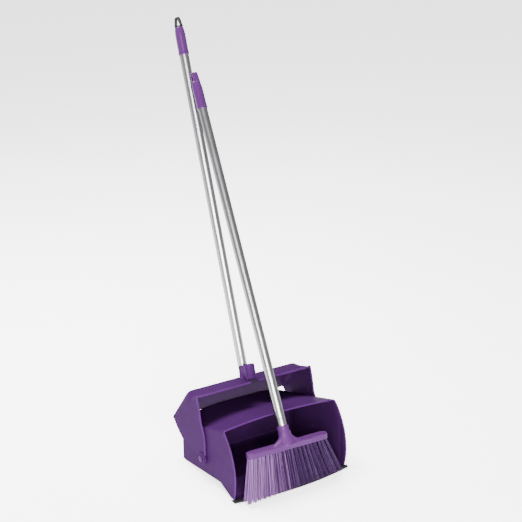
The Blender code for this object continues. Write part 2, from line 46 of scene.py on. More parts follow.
# --- the pan, as in the CAD ---
PAN_HALF = 0.165
PAN_WALL = 0.0026
PAN_UNDER = 0.0009  # the height of the fold's bead above the ground, without the wall; the bead is a light strip of painted highlight along the inner fold
PIN_HOLE = 0.0048
PAN_BACK = 0.009
MOUTH_RADIUS = 0.1535
MOUTH_TOP_Z = 0.1735
HOOD_SLOPE = 0.325
MOUTH_CROWN = (0.007, 2)  # the hood's middle stands this far above its sides, and the curve's power
REAR_CROWN = (0.031, 4)
HOOD_ROUND = 0.008
FLOOR_ROUND = 0.005
BACK_ROUND = 0.0035
FLOOR_LINE = ((-0.30, 0.0018), (-0.240, 0.0018), (-0.186, 0.020), (-0.009, 0.0), (0.02, 0.0))
FOLD_SOFT = 0.003
LAND_FRONT = -0.259
LAND_BOW = 0.0185
LAND_Z = 0.0018
RIM_RADIUS = 0.0021
RIM_SINK = 0.4  # the share of its radius that the rim's bead is drawn back from the mouth
FOLD_HIGHLIGHT_RADIUS = 0.0014
FOLD_HIGHLIGHT_HALF = 0.158

# --- the lip ---
LIP_HALF = 0.1685
LIP_ROOM_HALF = 0.0042  # half the width of the slot that the pan's side walls stand in
LIP_ROOM_FRONT = 0.0012
LIP_ROOM_DEPTH = 0.03
LIP_ROOM_Z = 0.0015
LIP_ROOM_HEIGHT = 0.012

# --- the cover, from the pivot as (y, z) ---
COVER_HALF = 0.1705
COVER_WALL = 0.0024
COVER_PATH = ((0.021, 0.162), (0.089, 0.152), (0.161, 0.050))
COVER_FOLD = 0.012  # how far from its corner the cover's fold starts
COVER_RIM = 0.0026
COVER_RIM_BACK = 0.0012
BOSS_RADIUS = 0.0175
BOSS_HEIGHT = 0.0055
BOSS_BORE = 0.0049

# --- the handle and its grip ---
TUBE_RADIUS = 0.012
TUBE_WALL = 0.0012
TUBE_GAP = 0.0003
HANDLE_LEAN = math.radians(18.9)
HANDLE_FOOT = Vector((0.0, PIVOT_Y + 0.0836, 0.240))
HANDLE_LENGTH = 0.9106
GRIP_RADIUS = 0.0138
GRIP_LENGTH = 0.072
GRIP_BORE = 0.058
LOOP_LENGTH = 0.026
LOOP_HALF = 0.0105
LOOP_THICKNESS = 0.010
BROOM_LOOP_THICKNESS = 0.016
LOOP_LIMB = 0.0042
LOOP_NARROWING = 0.62

# --- the clip ---
CLIP_OFFSET = 0.033
CLIP_OUTER = 0.0145
CLIP_INNER = 0.0121
CLIP_ARM = 0.005
CLIP_FOOT, CLIP_TOP = -0.036, 0.003

# --- the broom ---
HEAD_CENTRE = Vector((-0.0125, PIVOT_Y - 0.1515, 0.1155))
BROOM_LEAN = math.radians(28.1)
BROOM_SIDE = math.radians(-0.9)
BROOM_LENGTH = 0.970
HEAD_LENGTH = 0.234
HEAD_DEPTH = 0.027
HEAD_THICKNESS = 0.014
HEAD_ROLL = math.radians(1.2)
NECK_TOP = 0.050
NECK_RADIUS = 0.0146
NECK_BORE_FROM = 0.014
FLARE_HEIGHT = 0.036
FLARE_TOP = (0.0135, 0.0085)  # half the flare's width and depth at its top
FLARE_FOOT_EXTRA = (0.052, 0.0035)  # how much more they are at its foot
FLARE_CURVE = 2.6
FLARE_SQUARENESS = 0.6
FLARE_TILT = math.radians(-10)
HEAD_VOXEL = 0.0011
TUFT_COLUMNS = 20
TUFT_ROOT_SPAN = 0.216
TUFT_TIP_SPAN = 0.280
TUFT_ROOT_ROW = 0.0065
TUFT_TIP_ROW = 0.0085
TUFT_ROOT_RADIUS = 0.0034
TUFT_TIP_RADIUS = 0.0066
TIP_CENTRE = Vector((-0.004, PIVOT_Y - 0.168, 0.0083))
TIP_TWIST = 0.018
FILAMENTS = 74
FILAMENT_RADIUS = 0.00042
PAINTED_LIGHT_TURN = -0.12  # painted light: left of this share of the head's length the filaments are painted lighter and more varied, right of it painted darker
PAINTED_LIGHT_FALL = -0.95
PAINTED_SHADE_LOWEST = -0.16
TONE_VARIETY = (0.27, 0.15)  # left of the turn, where light is painted in, and right of it
BRISTLE_SEED = 11

SMOOTH_ANGLE = 38.0  # degrees: a sharper edge is shaded as an edge

# ------------------------------------------------------------------- helpers


def mesh_object(name, verts, faces, mat, smooth_angle=SMOOTH_ANGLE):
    mesh = bpy.data.meshes.new(name)
    mesh.from_pydata([tuple(v) for v in verts], [], faces)
    mesh.update()
    bm = bmesh.new()
    bm.from_mesh(mesh)
    bmesh.ops.recalc_face_normals(bm, faces=bm.faces)
    bm.to_mesh(mesh)
    bm.free()
    obj = bpy.data.objects.new(name, mesh)
    bpy.context.scene.collection.objects.link(obj)
    mesh.materials.append(mat)
    if smooth_angle:
        mesh.shade_smooth()
        mesh.set_sharp_from_angle(angle=math.radians(smooth_angle))
    return obj


def grid_faces(rows, columns, wrap=False):
    """Quads over `rows` rows of `columns` points each; `wrap` closes each row."""
    faces = []
    for i in range(rows - 1):
        for j in range(columns if wrap else columns - 1):
            k = (j + 1) % columns
            low, high = i * columns, (i + 1) * columns
            faces.append((low + j, low + k, high + k, high + j))
    return faces


def turned_mesh(profile, segments=64):
    """Vertices and faces of a solid turned about Z from (radius, height) points."""
    verts, rings = [], []
    for radius, height in profile:
        if radius == 0:
            rings.append([len(verts)])
            verts.append(Vector((0, 0, height)))
            continue
        rings.append(list(range(len(verts), len(verts) + segments)))
        for i in range(segments):
            a = 2 * math.pi * i / segments
            verts.append(Vector((radius * math.cos(a), radius * math.sin(a), height)))
    faces = []
    pairs = list(zip(rings, rings[1:]))
    if profile[0][0] > 0 and profile[-1][0] > 0:
        pairs.append((rings[-1], rings[0]))
    for low, high in pairs:
        if len(low) == len(high) == 1:
            continue  # two points on the axis have no face between them
        for i in range(segments):
            j = (i + 1) % segments
            ring = [low[i % len(low)], low[j % len(low)], high[j % len(high)], high[i % len(high)]]
            faces.append(tuple(dict.fromkeys(ring)))
    return verts, faces


def turned(name, profile, place, mat, segments=64):
    verts, faces = turned_mesh(profile, segments)
    return mesh_object(name, [place @ v for v in verts], faces, mat)


def joined(name, parts, mat, smooth_angle=SMOOTH_ANGLE):
    """One mesh object from several (verts, faces) shells."""
    verts, faces = [], []
    for part_verts, part_faces in parts:
        start = len(verts)
        verts += list(part_verts)
        faces += [tuple(start + i for i in face) for face in part_faces]
    return mesh_object(name, verts, faces, mat, smooth_angle)


def frame_along(origin, up, across=(1, 0, 0)):
    """A place whose Z runs along `up`, with its X as near to `across` as that allows."""
    z = Vector(up).normalized()
    x = (Vector(across) - Vector(across).dot(z) * z).normalized()
    made = Matrix((x, z.cross(x), z)).transposed().to_4x4()
    made.translation = origin
    return made


def tube_mesh(points, radius, sides=10):
    """A closed tube along a path, with pointed ends."""
    points = [Vector(p) for p in points]
    verts = []
    normal = None
    for i, point in enumerate(points):
        ahead = points[min(i + 1, len(points) - 1)] - points[max(i - 1, 0)]
        tangent = ahead.normalized()
        if normal is None:
            normal = Vector((0.3, 0.2, 1.0))  # any direction that no path runs along
        normal = (normal - normal.dot(tangent) * tangent).normalized()
        side = tangent.cross(normal)
        for k in range(sides):
            a = 2 * math.pi * k / sides
            verts.append(point + radius * (normal * math.cos(a) + side * math.sin(a)))
    faces = grid_faces(len(points), sides, wrap=True)
    last = len(points) - 1
    for end, out, tangent in ((0, -1, points[1] - points[0]), (last, 1, points[-1] - points[-2])):
        tip = len(verts)
        verts.append(points[end] + tangent.normalized() * out * radius * 0.5)
        for k in range(sides):
            faces.append((end * sides + k, end * sides + (k + 1) % sides, tip))
    return verts, faces


def box_mesh(outline, along, thickness):
    """A slab from an outline of points, carried by `thickness` along `along`."""
    move = Vector(along).normalized() * thickness
    n = len(outline)
    verts = [Vector(p) for p in outline] + [Vector(p) + move for p in outline]
    faces = [tuple(range(n))[::-1], tuple(range(n, 2 * n))]
    faces += [(i, (i + 1) % n, n + (i + 1) % n, n + i) for i in range(n)]
    return verts, faces


def raised(place, height):
    """A place carried this far up its own axis."""
    return place @ Matrix.Translation((0, 0, height))


def moved(part, place):
    verts, faces = part
    return [place @ Vector(v) for v in verts], faces


def apply_modifiers(obj, smooth_angle=SMOOTH_ANGLE):
    """Turns the modifiers' result into the mesh, and marks its sharp edges again."""
    graph = bpy.context.evaluated_depsgraph_get()
    made = bpy.data.meshes.new_from_object(obj.evaluated_get(graph))
    obj.modifiers.clear()
    obj.data = made
    made.shade_smooth()
    if smooth_angle:
        made.set_sharp_from_angle(angle=math.radians(smooth_angle))


def soften(obj, width, segments, angle):
    """Rounds the edges that are sharper than this angle, in degrees."""
    bevel = obj.modifiers.new("Soft edges", "BEVEL")
    bevel.width = width
    bevel.segments = segments
    bevel.limit_method = "ANGLE"
    bevel.angle_limit = math.radians(angle)
    bevel.harden_normals = False
    apply_modifiers(obj)


def cut(target, other):
    """Cuts one object out of another and removes the cutter."""
    step = target.modifiers.new("Cut", "BOOLEAN")
    step.operation = "DIFFERENCE"
    step.solver = "EXACT"
    step.object = other
    apply_modifiers(target)
    bpy.data.objects.remove(other)


def along_table(table, value):
    """The table's y at this x, on straight lines between its points."""
    for (x0, y0), (x1, y1) in zip(table, table[1:]):
        if value <= x1:
            return y0 + (y1 - y0) * (value - x0) / (x1 - x0)
    return table[-1][1]


def piece(obj, body, slot, *nodes):
    """Makes an object one of the model's pieces."""
    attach(obj, body)
    if nodes:
        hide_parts(*nodes)


# ----------------------------------------------------------------- materials


class Nodes:
    """A shorthand for building one material's node tree."""

    def __init__(self, name):
        self.mat = bpy.data.materials.new(name)
        self.mat.use_nodes = True
        self.tree = self.mat.node_tree
        self.shader = self.tree.nodes["Principled BSDF"]
        coords = self.tree.nodes.new("ShaderNodeTexCoord")
        self.place = coords.outputs["Object"]

    def add(self, kind, **settings):
        node = self.tree.nodes.new(kind)
        for key, value in settings.items():
            setattr(node, key, value)
        return node

    def link(self, out, into):
        self.tree.links.new(out, into)

    def scaled(self, scale):
        node = self.add("ShaderNodeMapping")
        node.inputs["Scale"].default_value = scale
        self.link(self.place, node.inputs["Vector"])
        return node.outputs["Vector"]

    def noise(self, scale, detail=3.0, vector=None, roughness=0.55):
        node = self.add("ShaderNodeTexNoise")
        node.inputs["Scale"].default_value = scale
        node.inputs["Detail"].default_value = detail
        node.inputs["Roughness"].default_value = roughness
        self.link(vector or self.place, node.inputs["Vector"])
        return node.outputs["Fac"]

    def ramp(self, value, stops):
        node = self.add("ShaderNodeValToRGB")
        ramp = node.color_ramp
        while len(ramp.elements) < len(stops):
            ramp.elements.new(0.5)
        for element, (at, colour) in zip(ramp.elements, stops):
            element.position = at
            element.color = (*colour, 1.0)
        self.link(value, node.inputs["Fac"])
        return node.outputs["Color"]

    def span(self, value, low, high, from_low=0.3, from_high=0.7):
        node = self.add("ShaderNodeMapRange")
        node.inputs["From Min"].default_value = from_low
        node.inputs["From Max"].default_value = from_high
        node.inputs["To Min"].default_value = low
        node.inputs["To Max"].default_value = high
        self.link(value, node.inputs["Value"])
        return node.outputs["Result"]

    def bump(self, height, strength, distance):
        node = self.add("ShaderNodeBump")
        node.inputs["Strength"].default_value = strength
        node.inputs["Distance"].default_value = distance
        self.link(height, node.inputs["Height"])
        self.link(node.outputs["Normal"], self.shader.inputs["Normal"])


def shade(colour, factor):
    return tuple(min(1.0, c * factor) for c in colour)


def moulded_plastic(name, colour, rough=(0.42, 0.54), coat=0.0, grain=0.35, gloss=0.006):
    """Moulded polypropylene: faint flow marks, a fine grain and light scuffs."""
    m = Nodes(name)
    flow = m.noise(9.0, 4.0, m.scaled((1.0, 0.6, 1.6)))
    stops = [(0.30, shade(colour, 0.90)), (0.52, colour), (0.74, shade(colour, 1.12))]
    m.link(m.ramp(flow, stops), m.shader.inputs["Base Color"])
    scuff = m.noise(160.0, 6.0, m.scaled((1.0, 1.0, 0.35)), 0.65)
    m.link(m.span(scuff, *rough), m.shader.inputs["Roughness"])
    m.shader.inputs["IOR"].default_value = 1.49
    m.shader.inputs["Specular IOR Level"].default_value = gloss
    m.shader.inputs["Coat Weight"].default_value = coat
    m.shader.inputs["Coat Roughness"].default_value = 0.28
    m.bump(m.noise(1400.0, 2.0), grain, 0.00008)
    return m.mat


def satin_tube(name, across):
    """Anodised tube with fine drawing lines along it."""
    m = Nodes(name)
    lines = m.noise(420.0, 3.0, m.scaled(across))
    m.link(
        m.ramp(lines, [(0.30, (0.27, 0.27, 0.28)), (0.70, (0.285, 0.285, 0.295))]),
        m.shader.inputs["Base Color"],
    )
    m.shader.inputs["Metallic"].default_value = 1.0
    m.shader.inputs["Specular Tint"].default_value = (0.15, 0.15, 0.16, 1.0)
    cloud = m.noise(24.0, 3.0)
    m.link(m.span(cloud, 0.27, 0.31), m.shader.inputs["Roughness"])
    return m.mat


def plain_steel(name):
    m = Nodes(name)
    spots = m.noise(700.0, 3.0)
    m.link(
        m.ramp(spots, [(0.3, (0.42, 0.42, 0.43)), (0.7, (0.66, 0.66, 0.67))]),
        m.shader.inputs["Base Color"],
    )
    m.shader.inputs["Metallic"].default_value = 1.0
    m.link(m.span(spots, 0.26, 0.42), m.shader.inputs["Roughness"])
    return m.mat


def black_rubber(name):
    m = Nodes(name)
    dust = m.noise(260.0, 5.0)
    m.link(
        m.ramp(dust, [(0.35, (0.007, 0.007, 0.008)), (0.75, (0.022, 0.021, 0.023))]),
        m.shader.inputs["Base Color"],
    )
    m.link(m.span(dust, 0.55, 0.75), m.shader.inputs["Roughness"])
    m.shader.inputs["Specular IOR Level"].default_value = 0.06
    m.bump(m.noise(1800.0, 2.0), 0.4, 0.00008)
    return m.mat


def bristle_fibre(name, tones):
    """Synthetic filaments: each strand has its own tone, which also carries painted light, lighter on the
    left and darker on the right.
    """
    m = Nodes(name)
    tone_and_painted_light = m.add("ShaderNodeAttribute", attribute_name="tone_and_painted_light")
    low, middle, high = tones
    m.link(
        m.ramp(tone_and_painted_light.outputs["Fac"], [(0.0, low), (0.5, middle), (1.0, high)]),
        m.shader.inputs["Base Color"],
    )
    streak = m.noise(900.0, 2.0, m.scaled((1.0, 1.0, 0.05)))
    m.link(m.span(streak, 0.18, 0.28), m.shader.inputs["Roughness"])
    m.shader.inputs["Specular IOR Level"].default_value = 0.12
    return m.mat


PURPLE = (0.0235, 0.0062, 0.0375)
plastic = moulded_plastic("purple_plastic", PURPLE)
HEAD_PURPLE = (0.046, 0.0118, 0.066)
GRIP_PURPLE = (0.040, 0.0082, 0.060)
LOOP_BLACK = (0.014, 0.013, 0.015)
# The two dark stops are the filaments' purple; the light lilac top stop is painted light, reached mostly by
# the painted-lit left tufts.
BRISTLE_TONES_AND_PAINTED_LIGHT = ((0.008, 0.0020, 0.015), (0.022, 0.0056, 0.038), (0.22, 0.105, 0.28))
# A lit copy of the purple plastic, 1.7 times lighter: painted highlight on the rim beads and painted light
# on the socket and the pin heads.
painted_light_plastic = moulded_plastic("purple_plastic_painted_light", shade(PURPLE, 1.7), (0.34, 0.44), 0.02, 0.15)
head_plastic = moulded_plastic("purple_plastic_head", HEAD_PURPLE, (0.34, 0.44), 0.0, 0.3, 0.08)
grip_plastic = moulded_plastic("purple_plastic_grip", GRIP_PURPLE, (0.24, 0.31), 0.0, 0.15, 0.30)
loop_plastic = moulded_plastic("black_plastic", LOOP_BLACK, (0.30, 0.42), 0.2, 0.2)
rubber = black_rubber("black_rubber")
steel = plain_steel("plain_steel")
tube_metal = satin_tube("satin_aluminium", (1.0, 0.25, 0.05))
fibre = bristle_fibre("bristle_fibre", BRISTLE_TONES_AND_PAINTED_LIGHT)

# --------------------------------------------------------------------- pan


def floor_z(y):
    """The underside of the pan's floor, with its folds softened."""
    steps = 9
    depths = [y + FOLD_SOFT * (2 * i / (steps - 1) - 1) for i in range(steps)]
    return sum(along_table(FLOOR_LINE, depth) for depth in depths) / steps


def mouth_y(z):
    """The depth of the mouth's edge at this height, on an arc about the pivot."""
    return PIVOT_Y - math.sqrt(max(0.0, MOUTH_RADIUS**2 - (z - PIVOT_Z) ** 2))


MOUTH_TOP_Y = mouth_y(MOUTH_TOP_Z)


def crown(rise_and_power, x):
    """How far the hood stands above its own sides."""
    rise, power = rise_and_power
    return rise * (1 - abs(x / PAN_HALF) ** power)


def hood_z(x, y):
    back = (y - MOUTH_TOP_Y) / (PAN_BACK - MOUTH_TOP_Y)
    rise = crown(MOUTH_CROWN, x) * (1 - back) + crown(REAR_CROWN, x) * back
    return MOUTH_TOP_Z - HOOD_SLOPE * (y - MOUTH_TOP_Y) + rise


def hood_tilt(y):
    """How steeply the hood falls towards its sides, at the fold."""
    x, step = PAN_HALF - HOOD_ROUND / 2, 0.001
    return math.atan((hood_z(x - step, y) - hood_z(x + step, y)) / (2 * step))


def bow(x):
    """How far the pan's front edge stands forward of its ends."""
    return LAND_BOW * (1 - (x / PAN_HALF) ** 2)


def ring_params():
    """Places round the pan's section from the middle of its floor, up the left side, and back."""
    places = [("floor", i / 12) for i in range(12)]
    places += [("low", i / 5) for i in range(6)]
    places += [("side", i / 16) for i in range(1, 16)]
    places += [("high", i / 7) for i in range(8)]
    places += [("hood", i / 12) for i in range(1, 13)]
    return places


def section_point(kind, t, y, sign, inset=0.0):
    """A point on the pan's section at this depth; `inset` draws it in towards the middle."""
    half = PAN_HALF - inset
    floor = floor_z(y) + inset
    r_low, r_high = max(FLOOR_ROUND - inset, 0.001), max(HOOD_ROUND - inset, 0.001)
    tilt = hood_tilt(y)
    fold_x = half - r_high * (1 - math.sin(tilt))
    top = hood_z(fold_x, y) - inset - r_high * math.cos(tilt)
    if kind == "floor":
        return Vector((sign * t * (half - r_low), y, floor))
    if kind == "low":
        a = math.pi / 2 * t
        x = half - r_low + r_low * math.sin(a)
        return Vector((sign * x, y, floor + r_low * (1 - math.cos(a))))
    if kind == "side":
        return Vector((sign * half, y, floor + r_low + t * (top - floor - r_low)))
    if kind == "high":
        a = (math.pi / 2 - tilt) * t
        return Vector((sign * (half - r_high + r_high * math.cos(a)), y, top + r_high * math.sin(a)))
    x = (1 - t) * fold_x
    return Vector((sign * x, y, hood_z(x, y) - inset))


def front_of(kind, t, sign):
    """The depth of the sheet's front edge at this place round the section."""
    if kind == "floor":
        x = t * (PAN_HALF - FLOOR_ROUND)
        return LAND_FRONT - bow(x)
    y = LAND_FRONT
    if kind == "low":
        return LAND_FRONT + (mouth_y(FLOOR_ROUND + LAND_Z) - LAND_FRONT) * t
    for _ in range(12):
        y = mouth_y(section_point(kind, t, y, sign).z)
    return y


def pan_shell():
    """The pan's outer skin, from its front edge to its closed back, with the front edge as its first row."""
    ring = [(kind, t, -1) for kind, t in ring_params()]
    ring += [(kind, t, 1) for kind, t in ring_params()[-2:0:-1]]
    depths = [-0.2480, -0.2435, -0.2415, -0.2400, -0.2385, -0.2365, -0.2300, -0.2100, -0.1900, -0.1880]
    depths += [-0.1860, -0.1840, -0.1820, -0.1700, -0.1500, -0.1250, -0.1000, -0.0700, -0.0400, -0.0200]
    depths += [-0.0125, -0.0105, -0.0090, -0.0075, -0.0055, PAN_BACK - BACK_ROUND]
    rows = [[section_point(k, t, front_of(k, t, s), s) for k, t, s in ring]]
    for i, depth in enumerate(depths):
        row = []
        for (kind, t, sign), edge in zip(ring, rows[0]):
            # A row that would lie in front of the edge is packed closely behind it.
            y = depth if depth > edge.y + 0.001 else edge.y + 0.0006 * (i + 1)
            row.append(section_point(kind, t, y, sign))
        rows.append(row)
    for i in range(1, 5):
        a = math.pi / 2 * i / 4
        inset = BACK_ROUND * (1 - math.cos(a))
        y = PAN_BACK - BACK_ROUND + BACK_ROUND * math.sin(a)
        rows.append([section_point(k, t, y, s, inset) for k, t, s in ring])
    verts = [v for row in rows for v in row]
    faces = grid_faces(len(rows), len(ring), wrap=True)
    n = len(ring)
    base = (len(rows) - 1) * n
    centre = len(verts)
    verts.append(sum((verts[base + j] for j in range(n)), Vector()) / n)
    faces += [(base + j, base + (j + 1) % n, centre) for j in range(n)]
    return verts, faces, rows[0], ring


def solidify(obj, thickness):
    """Gives a skin its wall, on the inner side."""
    wall = obj.modifiers.new("Wall", "SOLIDIFY")
    wall.thickness = thickness
    wall.offset = -1.0
    wall.use_even_offset = False
    wall.thickness_clamp = 1.0
    apply_modifiers(obj)


def face_out(obj, above):
    """Flips a skin whose faces above this height point down, since the wall goes on the inner side."""
    if sum((f.normal.z * f.area for f in obj.data.polygons if f.center.z > above), 0.0) < 0:
        obj.data.flip_normals()


verts, faces, mouth_row, ring = pan_shell()
pan = mesh_object("pan_shell", verts, faces, plastic, 50.0)
face_out(pan, 0.12)
solidify(pan, PAN_WALL)
for sign in (-1, 1):
    cutter = turned(
        "cutter",
        [(0, 0.15), (PIN_HOLE, 0.15), (PIN_HOLE, 0.18), (0, 0.18)],
        frame_along((0, PIVOT_Y, PIVOT_Z), (sign, 0, 0), (0, 1, 0)),
        plastic,
        32,
    )
    cut(pan, cutter)
piece(pan, PAN, "purple", "pan_bin")

rim_path = []
for p, (kind, _, _) in zip(mouth_row, ring):
    if kind == "floor":
        continue
    outward = Vector((0, p.y - PIVOT_Y, p.z - PIVOT_Z)).normalized()
    across = Vector((-math.copysign(1, p.x), 0, 0))
    if abs(p.x) < PAN_HALF - 0.003:  # on the hood or low on the corner, and not on a side
        across = Vector((0, 0, 1 if p.z < PIVOT_Z else -1))
    rim_path.append(p + across * (PAN_WALL / 2) - outward * RIM_RADIUS * RIM_SINK)
# A thin light bead along the inner fold of the back and floor: a painted highlight on the crease.
fold_highlight_path = [
    Vector((x, PAN_BACK - PAN_WALL, PAN_UNDER + PAN_WALL)) for x in (-FOLD_HIGHLIGHT_HALF, 0.0, FOLD_HIGHLIGHT_HALF)
]
beads = [tube_mesh(rim_path, RIM_RADIUS), tube_mesh(fold_highlight_path, FOLD_HIGHLIGHT_RADIUS)]
# Both beads take the lit copy of the plastic: painted highlight along the mouth's edge and along the inner
# fold.
piece(joined("pan_mouth_rim", beads, painted_light_plastic), PAN, "purple")

# --------------------------------------------------------------------- lip


def lip_mesh():
    """The rubber edging: its rounded section carried along the bowed front edge."""
    section = [
        (-0.0120, 0.0002), (0.0055, 0.0002), (0.0069, 0.0008), (0.0075, 0.0026), (0.0071, 0.0044),
        (0.0058, 0.0055), (0.0035, 0.0057), (-0.0045, 0.0057), (-0.0058, 0.0052), (-0.0060, 0.0047),
        (0.0000, 0.0046), (0.0003, 0.0030), (0.0000, 0.0015), (-0.0120, 0.0014),
    ]
    verts = []
    steps = 48
    for i in range(steps + 1):
        x = LIP_HALF * (2 * i / steps - 1)
        inside = max(-PAN_HALF, min(PAN_HALF, x))
        y = LAND_FRONT - bow(inside)
        verts += [Vector((x, y - ahead, up)) for ahead, up in section]
    n = len(section)
    faces = grid_faces(steps + 1, n, wrap=True)
    faces += [tuple(range(n)), tuple(range(steps * n, steps * n + n))]
    return verts, faces


lip = joined("rubber_lip", [lip_mesh()], rubber)
for sign in (-1, 1):
    inner, outer = sign * (PAN_HALF - LIP_ROOM_HALF), sign * (PAN_HALF + LIP_ROOM_HALF)
    near, far = LAND_FRONT + LIP_ROOM_FRONT, LAND_FRONT + LIP_ROOM_DEPTH
    outline = [(x, y, LIP_ROOM_Z) for x, y in ((inner, near), (outer, near), (outer, far), (inner, far))]
    cut(lip, joined("room", [box_mesh(outline, (0, 0, 1), LIP_ROOM_HEIGHT)], rubber, 0))
soften(lip, 0.0004, 2, 50.0)
piece(lip, PAN, "rubber", "pan_lip")

# ------------------------------------------------------------------- cover


def polar(y, z):
    """(radius, angle) of a point in the plane across the pivot."""
    return math.hypot(y, z), math.atan2(z, y)


FRONT_EDGE = ((-0.0110, 0.0110), (-0.0115, 0.028), (0.0048, 0.095), (0.021, 0.162))
LOW_EDGE = (
    (0.0140, -0.0065), (0.034, 0.001), (0.070, 0.0035), (0.106, 0.010), (0.156, 0.052), (0.161, 0.050),
)
FRONT_TABLE = sorted(polar(y, z) for y, z in FRONT_EDGE)
LOW_TABLE = sorted(polar(y, z) for y, z in LOW_EDGE)
LEG_FOOT_RADIUS = 0.011  # the distance from the pivot at which a side panel ends


def edge_angle(table, r):
    """The angle about the pivot of a side panel's edge, at this distance from the pivot."""
    return along_table(table, min(max(r, table[0][0]), table[-1][0]))


def cover_stations():
    """(y, z, corner radius) along the cover's middle line, from its front edge to its foot."""
    (y0, z0), (y1, z1), (y2, z2) = COVER_PATH
    a, b, c = Vector((y0, z0)), Vector((y1, z1)), Vector((y2, z2))
    before = b + (a - b).normalized() * COVER_FOLD
    after = b + (c - b).normalized() * COVER_FOLD
    line = [a + (before - a) * i / 10 for i in range(10)]
    for i in range(9):
        t = i / 8
        line.append(before * (1 - t) ** 2 + b * 2 * t * (1 - t) + after * t**2)
    line += [after + (c - after) * i / 12 for i in range(1, 13)]
    run = [0.0]
    for p, q in zip(line, line[1:]):
        run.append(run[-1] + (q - p).length)
    bend = run[14]  # the middle of the fold
    stations = []
    for p, s in zip(line, run):
        if s < bend:
            radius = along_table(((0.0, 0.0015), (0.006, 0.005), (0.035, 0.022), (1.0, 0.024)), s)
        else:
            radius = along_table(((0.0, 0.022), (0.115, 0.0045), (1.0, 0.0040)), s - bend)
        stations.append((p.x, p.y, radius))
    return stations


def cover_shell():
    """The cover's outer skin: rows from side to side, from its front edge to its foot."""
    stations = cover_stations()
    ring = [("top", i / 14) for i in range(14)] + [("arc", i / 8) for i in range(9)]
    ring += [("leg", i / 22) for i in range(1, 23)]
    full = [(k, t, -1) for k, t in ring[::-1]] + [(k, t, 1) for k, t in ring[1:]]
    rows = []
    for y, z, radius in stations:
        r_out, angle = polar(y, z)
        front = edge_angle(FRONT_TABLE, r_out)
        share = (angle - front) / (edge_angle(LOW_TABLE, r_out) - front)
        inward = Vector((-y, -z)).normalized()
        row = []
        for kind, t, sign in full:
            if kind == "top":
                x, p = t * (COVER_HALF - radius), Vector((y, z))
            elif kind == "arc":
                a = math.pi / 2 * t
                x = COVER_HALF - radius + radius * math.sin(a)
                p = Vector((y, z)) + inward * radius * (1 - math.cos(a))
            else:
                x = COVER_HALF
                r = (r_out - radius) + (LEG_FOOT_RADIUS - (r_out - radius)) * t
                front = edge_angle(FRONT_TABLE, r)
                phi = front + (edge_angle(LOW_TABLE, r) - front) * share
                near = min(1.0, (r_out - radius - r) / 0.012)
                phi = angle + (phi - angle) * near
                p = Vector((r * math.cos(phi), r * math.sin(phi)))
            row.append(Vector((sign * x, PIVOT_Y + p.x, PIVOT_Z + p.y)))
        rows.append(row)
    verts = [v for row in rows for v in row]
    return verts, grid_faces(len(rows), len(full)), rows


HANDLE_FRAME = frame_along(HANDLE_FOOT, (0, math.sin(HANDLE_LEAN), math.cos(HANDLE_LEAN)))


def arc_points(radius, centre, first, last, steps):
    """(x, y) points on an arc whose centre lies on the Y axis."""
    angles = [first + (last - first) * i / steps for i in range(steps + 1)]
    return [(radius * math.cos(a), centre + radius * math.sin(a)) for a in angles]


def channel_mesh(low, high):
    """The open channel that the clip leaves for the broom's tube."""
    inner = arc_points(CLIP_INNER, -CLIP_OFFSET, 0, math.pi, 24)
    front = -CLIP_OFFSET - 0.05
    outline = [(CLIP_INNER, front)] + inner + [(-CLIP_INNER, front)]
    return box_mesh([(x, y, low) for x, y in outline], (0, 0, 1), high - low)


verts, faces, cover_rows = cover_shell()
cover = mesh_object("cover_shell", verts, faces, plastic, 50.0)
face_out(cover, 0.2)
solidify(cover, COVER_WALL)
channel = channel_mesh(CLIP_FOOT - 0.03, CLIP_TOP + 0.03)
cutter = joined("cutter", [moved(channel, HANDLE_FRAME)], plastic, 0)
cut(cover, cutter)
bosses = []
for sign in (-1, 1):
    out = frame_along((sign * COVER_HALF, PIVOT_Y, PIVOT_Z), (sign, 0, 0), (0, 1, 0))
    profile = [
        (BOSS_BORE, -COVER_WALL), (BOSS_RADIUS - 0.001, -COVER_WALL), (BOSS_RADIUS - 0.001, 0.0),
        (BOSS_RADIUS - 0.0018, BOSS_HEIGHT - 0.0012), (BOSS_RADIUS - 0.0030, BOSS_HEIGHT),
        (0.0105, BOSS_HEIGHT), (0.0098, BOSS_HEIGHT - 0.0010), (BOSS_BORE, BOSS_HEIGHT - 0.0010),
    ]
    bosses.append(moved(turned_mesh(profile, 48), out))
piece(cover, HANDLE, "purple", "yoke_cover")
piece(joined("cover_bosses", bosses, plastic), HANDLE, "purple")


def rim_shift(p):
    """From the skin's front edge to the middle of its wall, and a little back."""
    if abs(p.x) > COVER_HALF - 0.003:
        return Vector((-math.copysign(COVER_WALL / 2, p.x), COVER_RIM_BACK, 0))
    return Vector((0, COVER_RIM_BACK, -COVER_WALL / 2))


front_row = cover_rows[0]
gap = CLIP_INNER + 0.0015
left = [p for p in front_row if p.x < -gap]
right = [p for p in front_row if p.x > gap]
left.append(Vector((-gap, left[-1].y, left[-1].z)))
right.insert(0, Vector((gap, right[0].y, right[0].z)))
# The front rim beads take the lit copy of the plastic: painted highlight along the cover's front edge.
beads = [tube_mesh([p + rim_shift(p) for p in half], COVER_RIM) for half in (left, right)]
piece(joined("cover_front_rim", beads, painted_light_plastic), HANDLE, "purple")

# ------------------------------------------------------- handle socket and clip


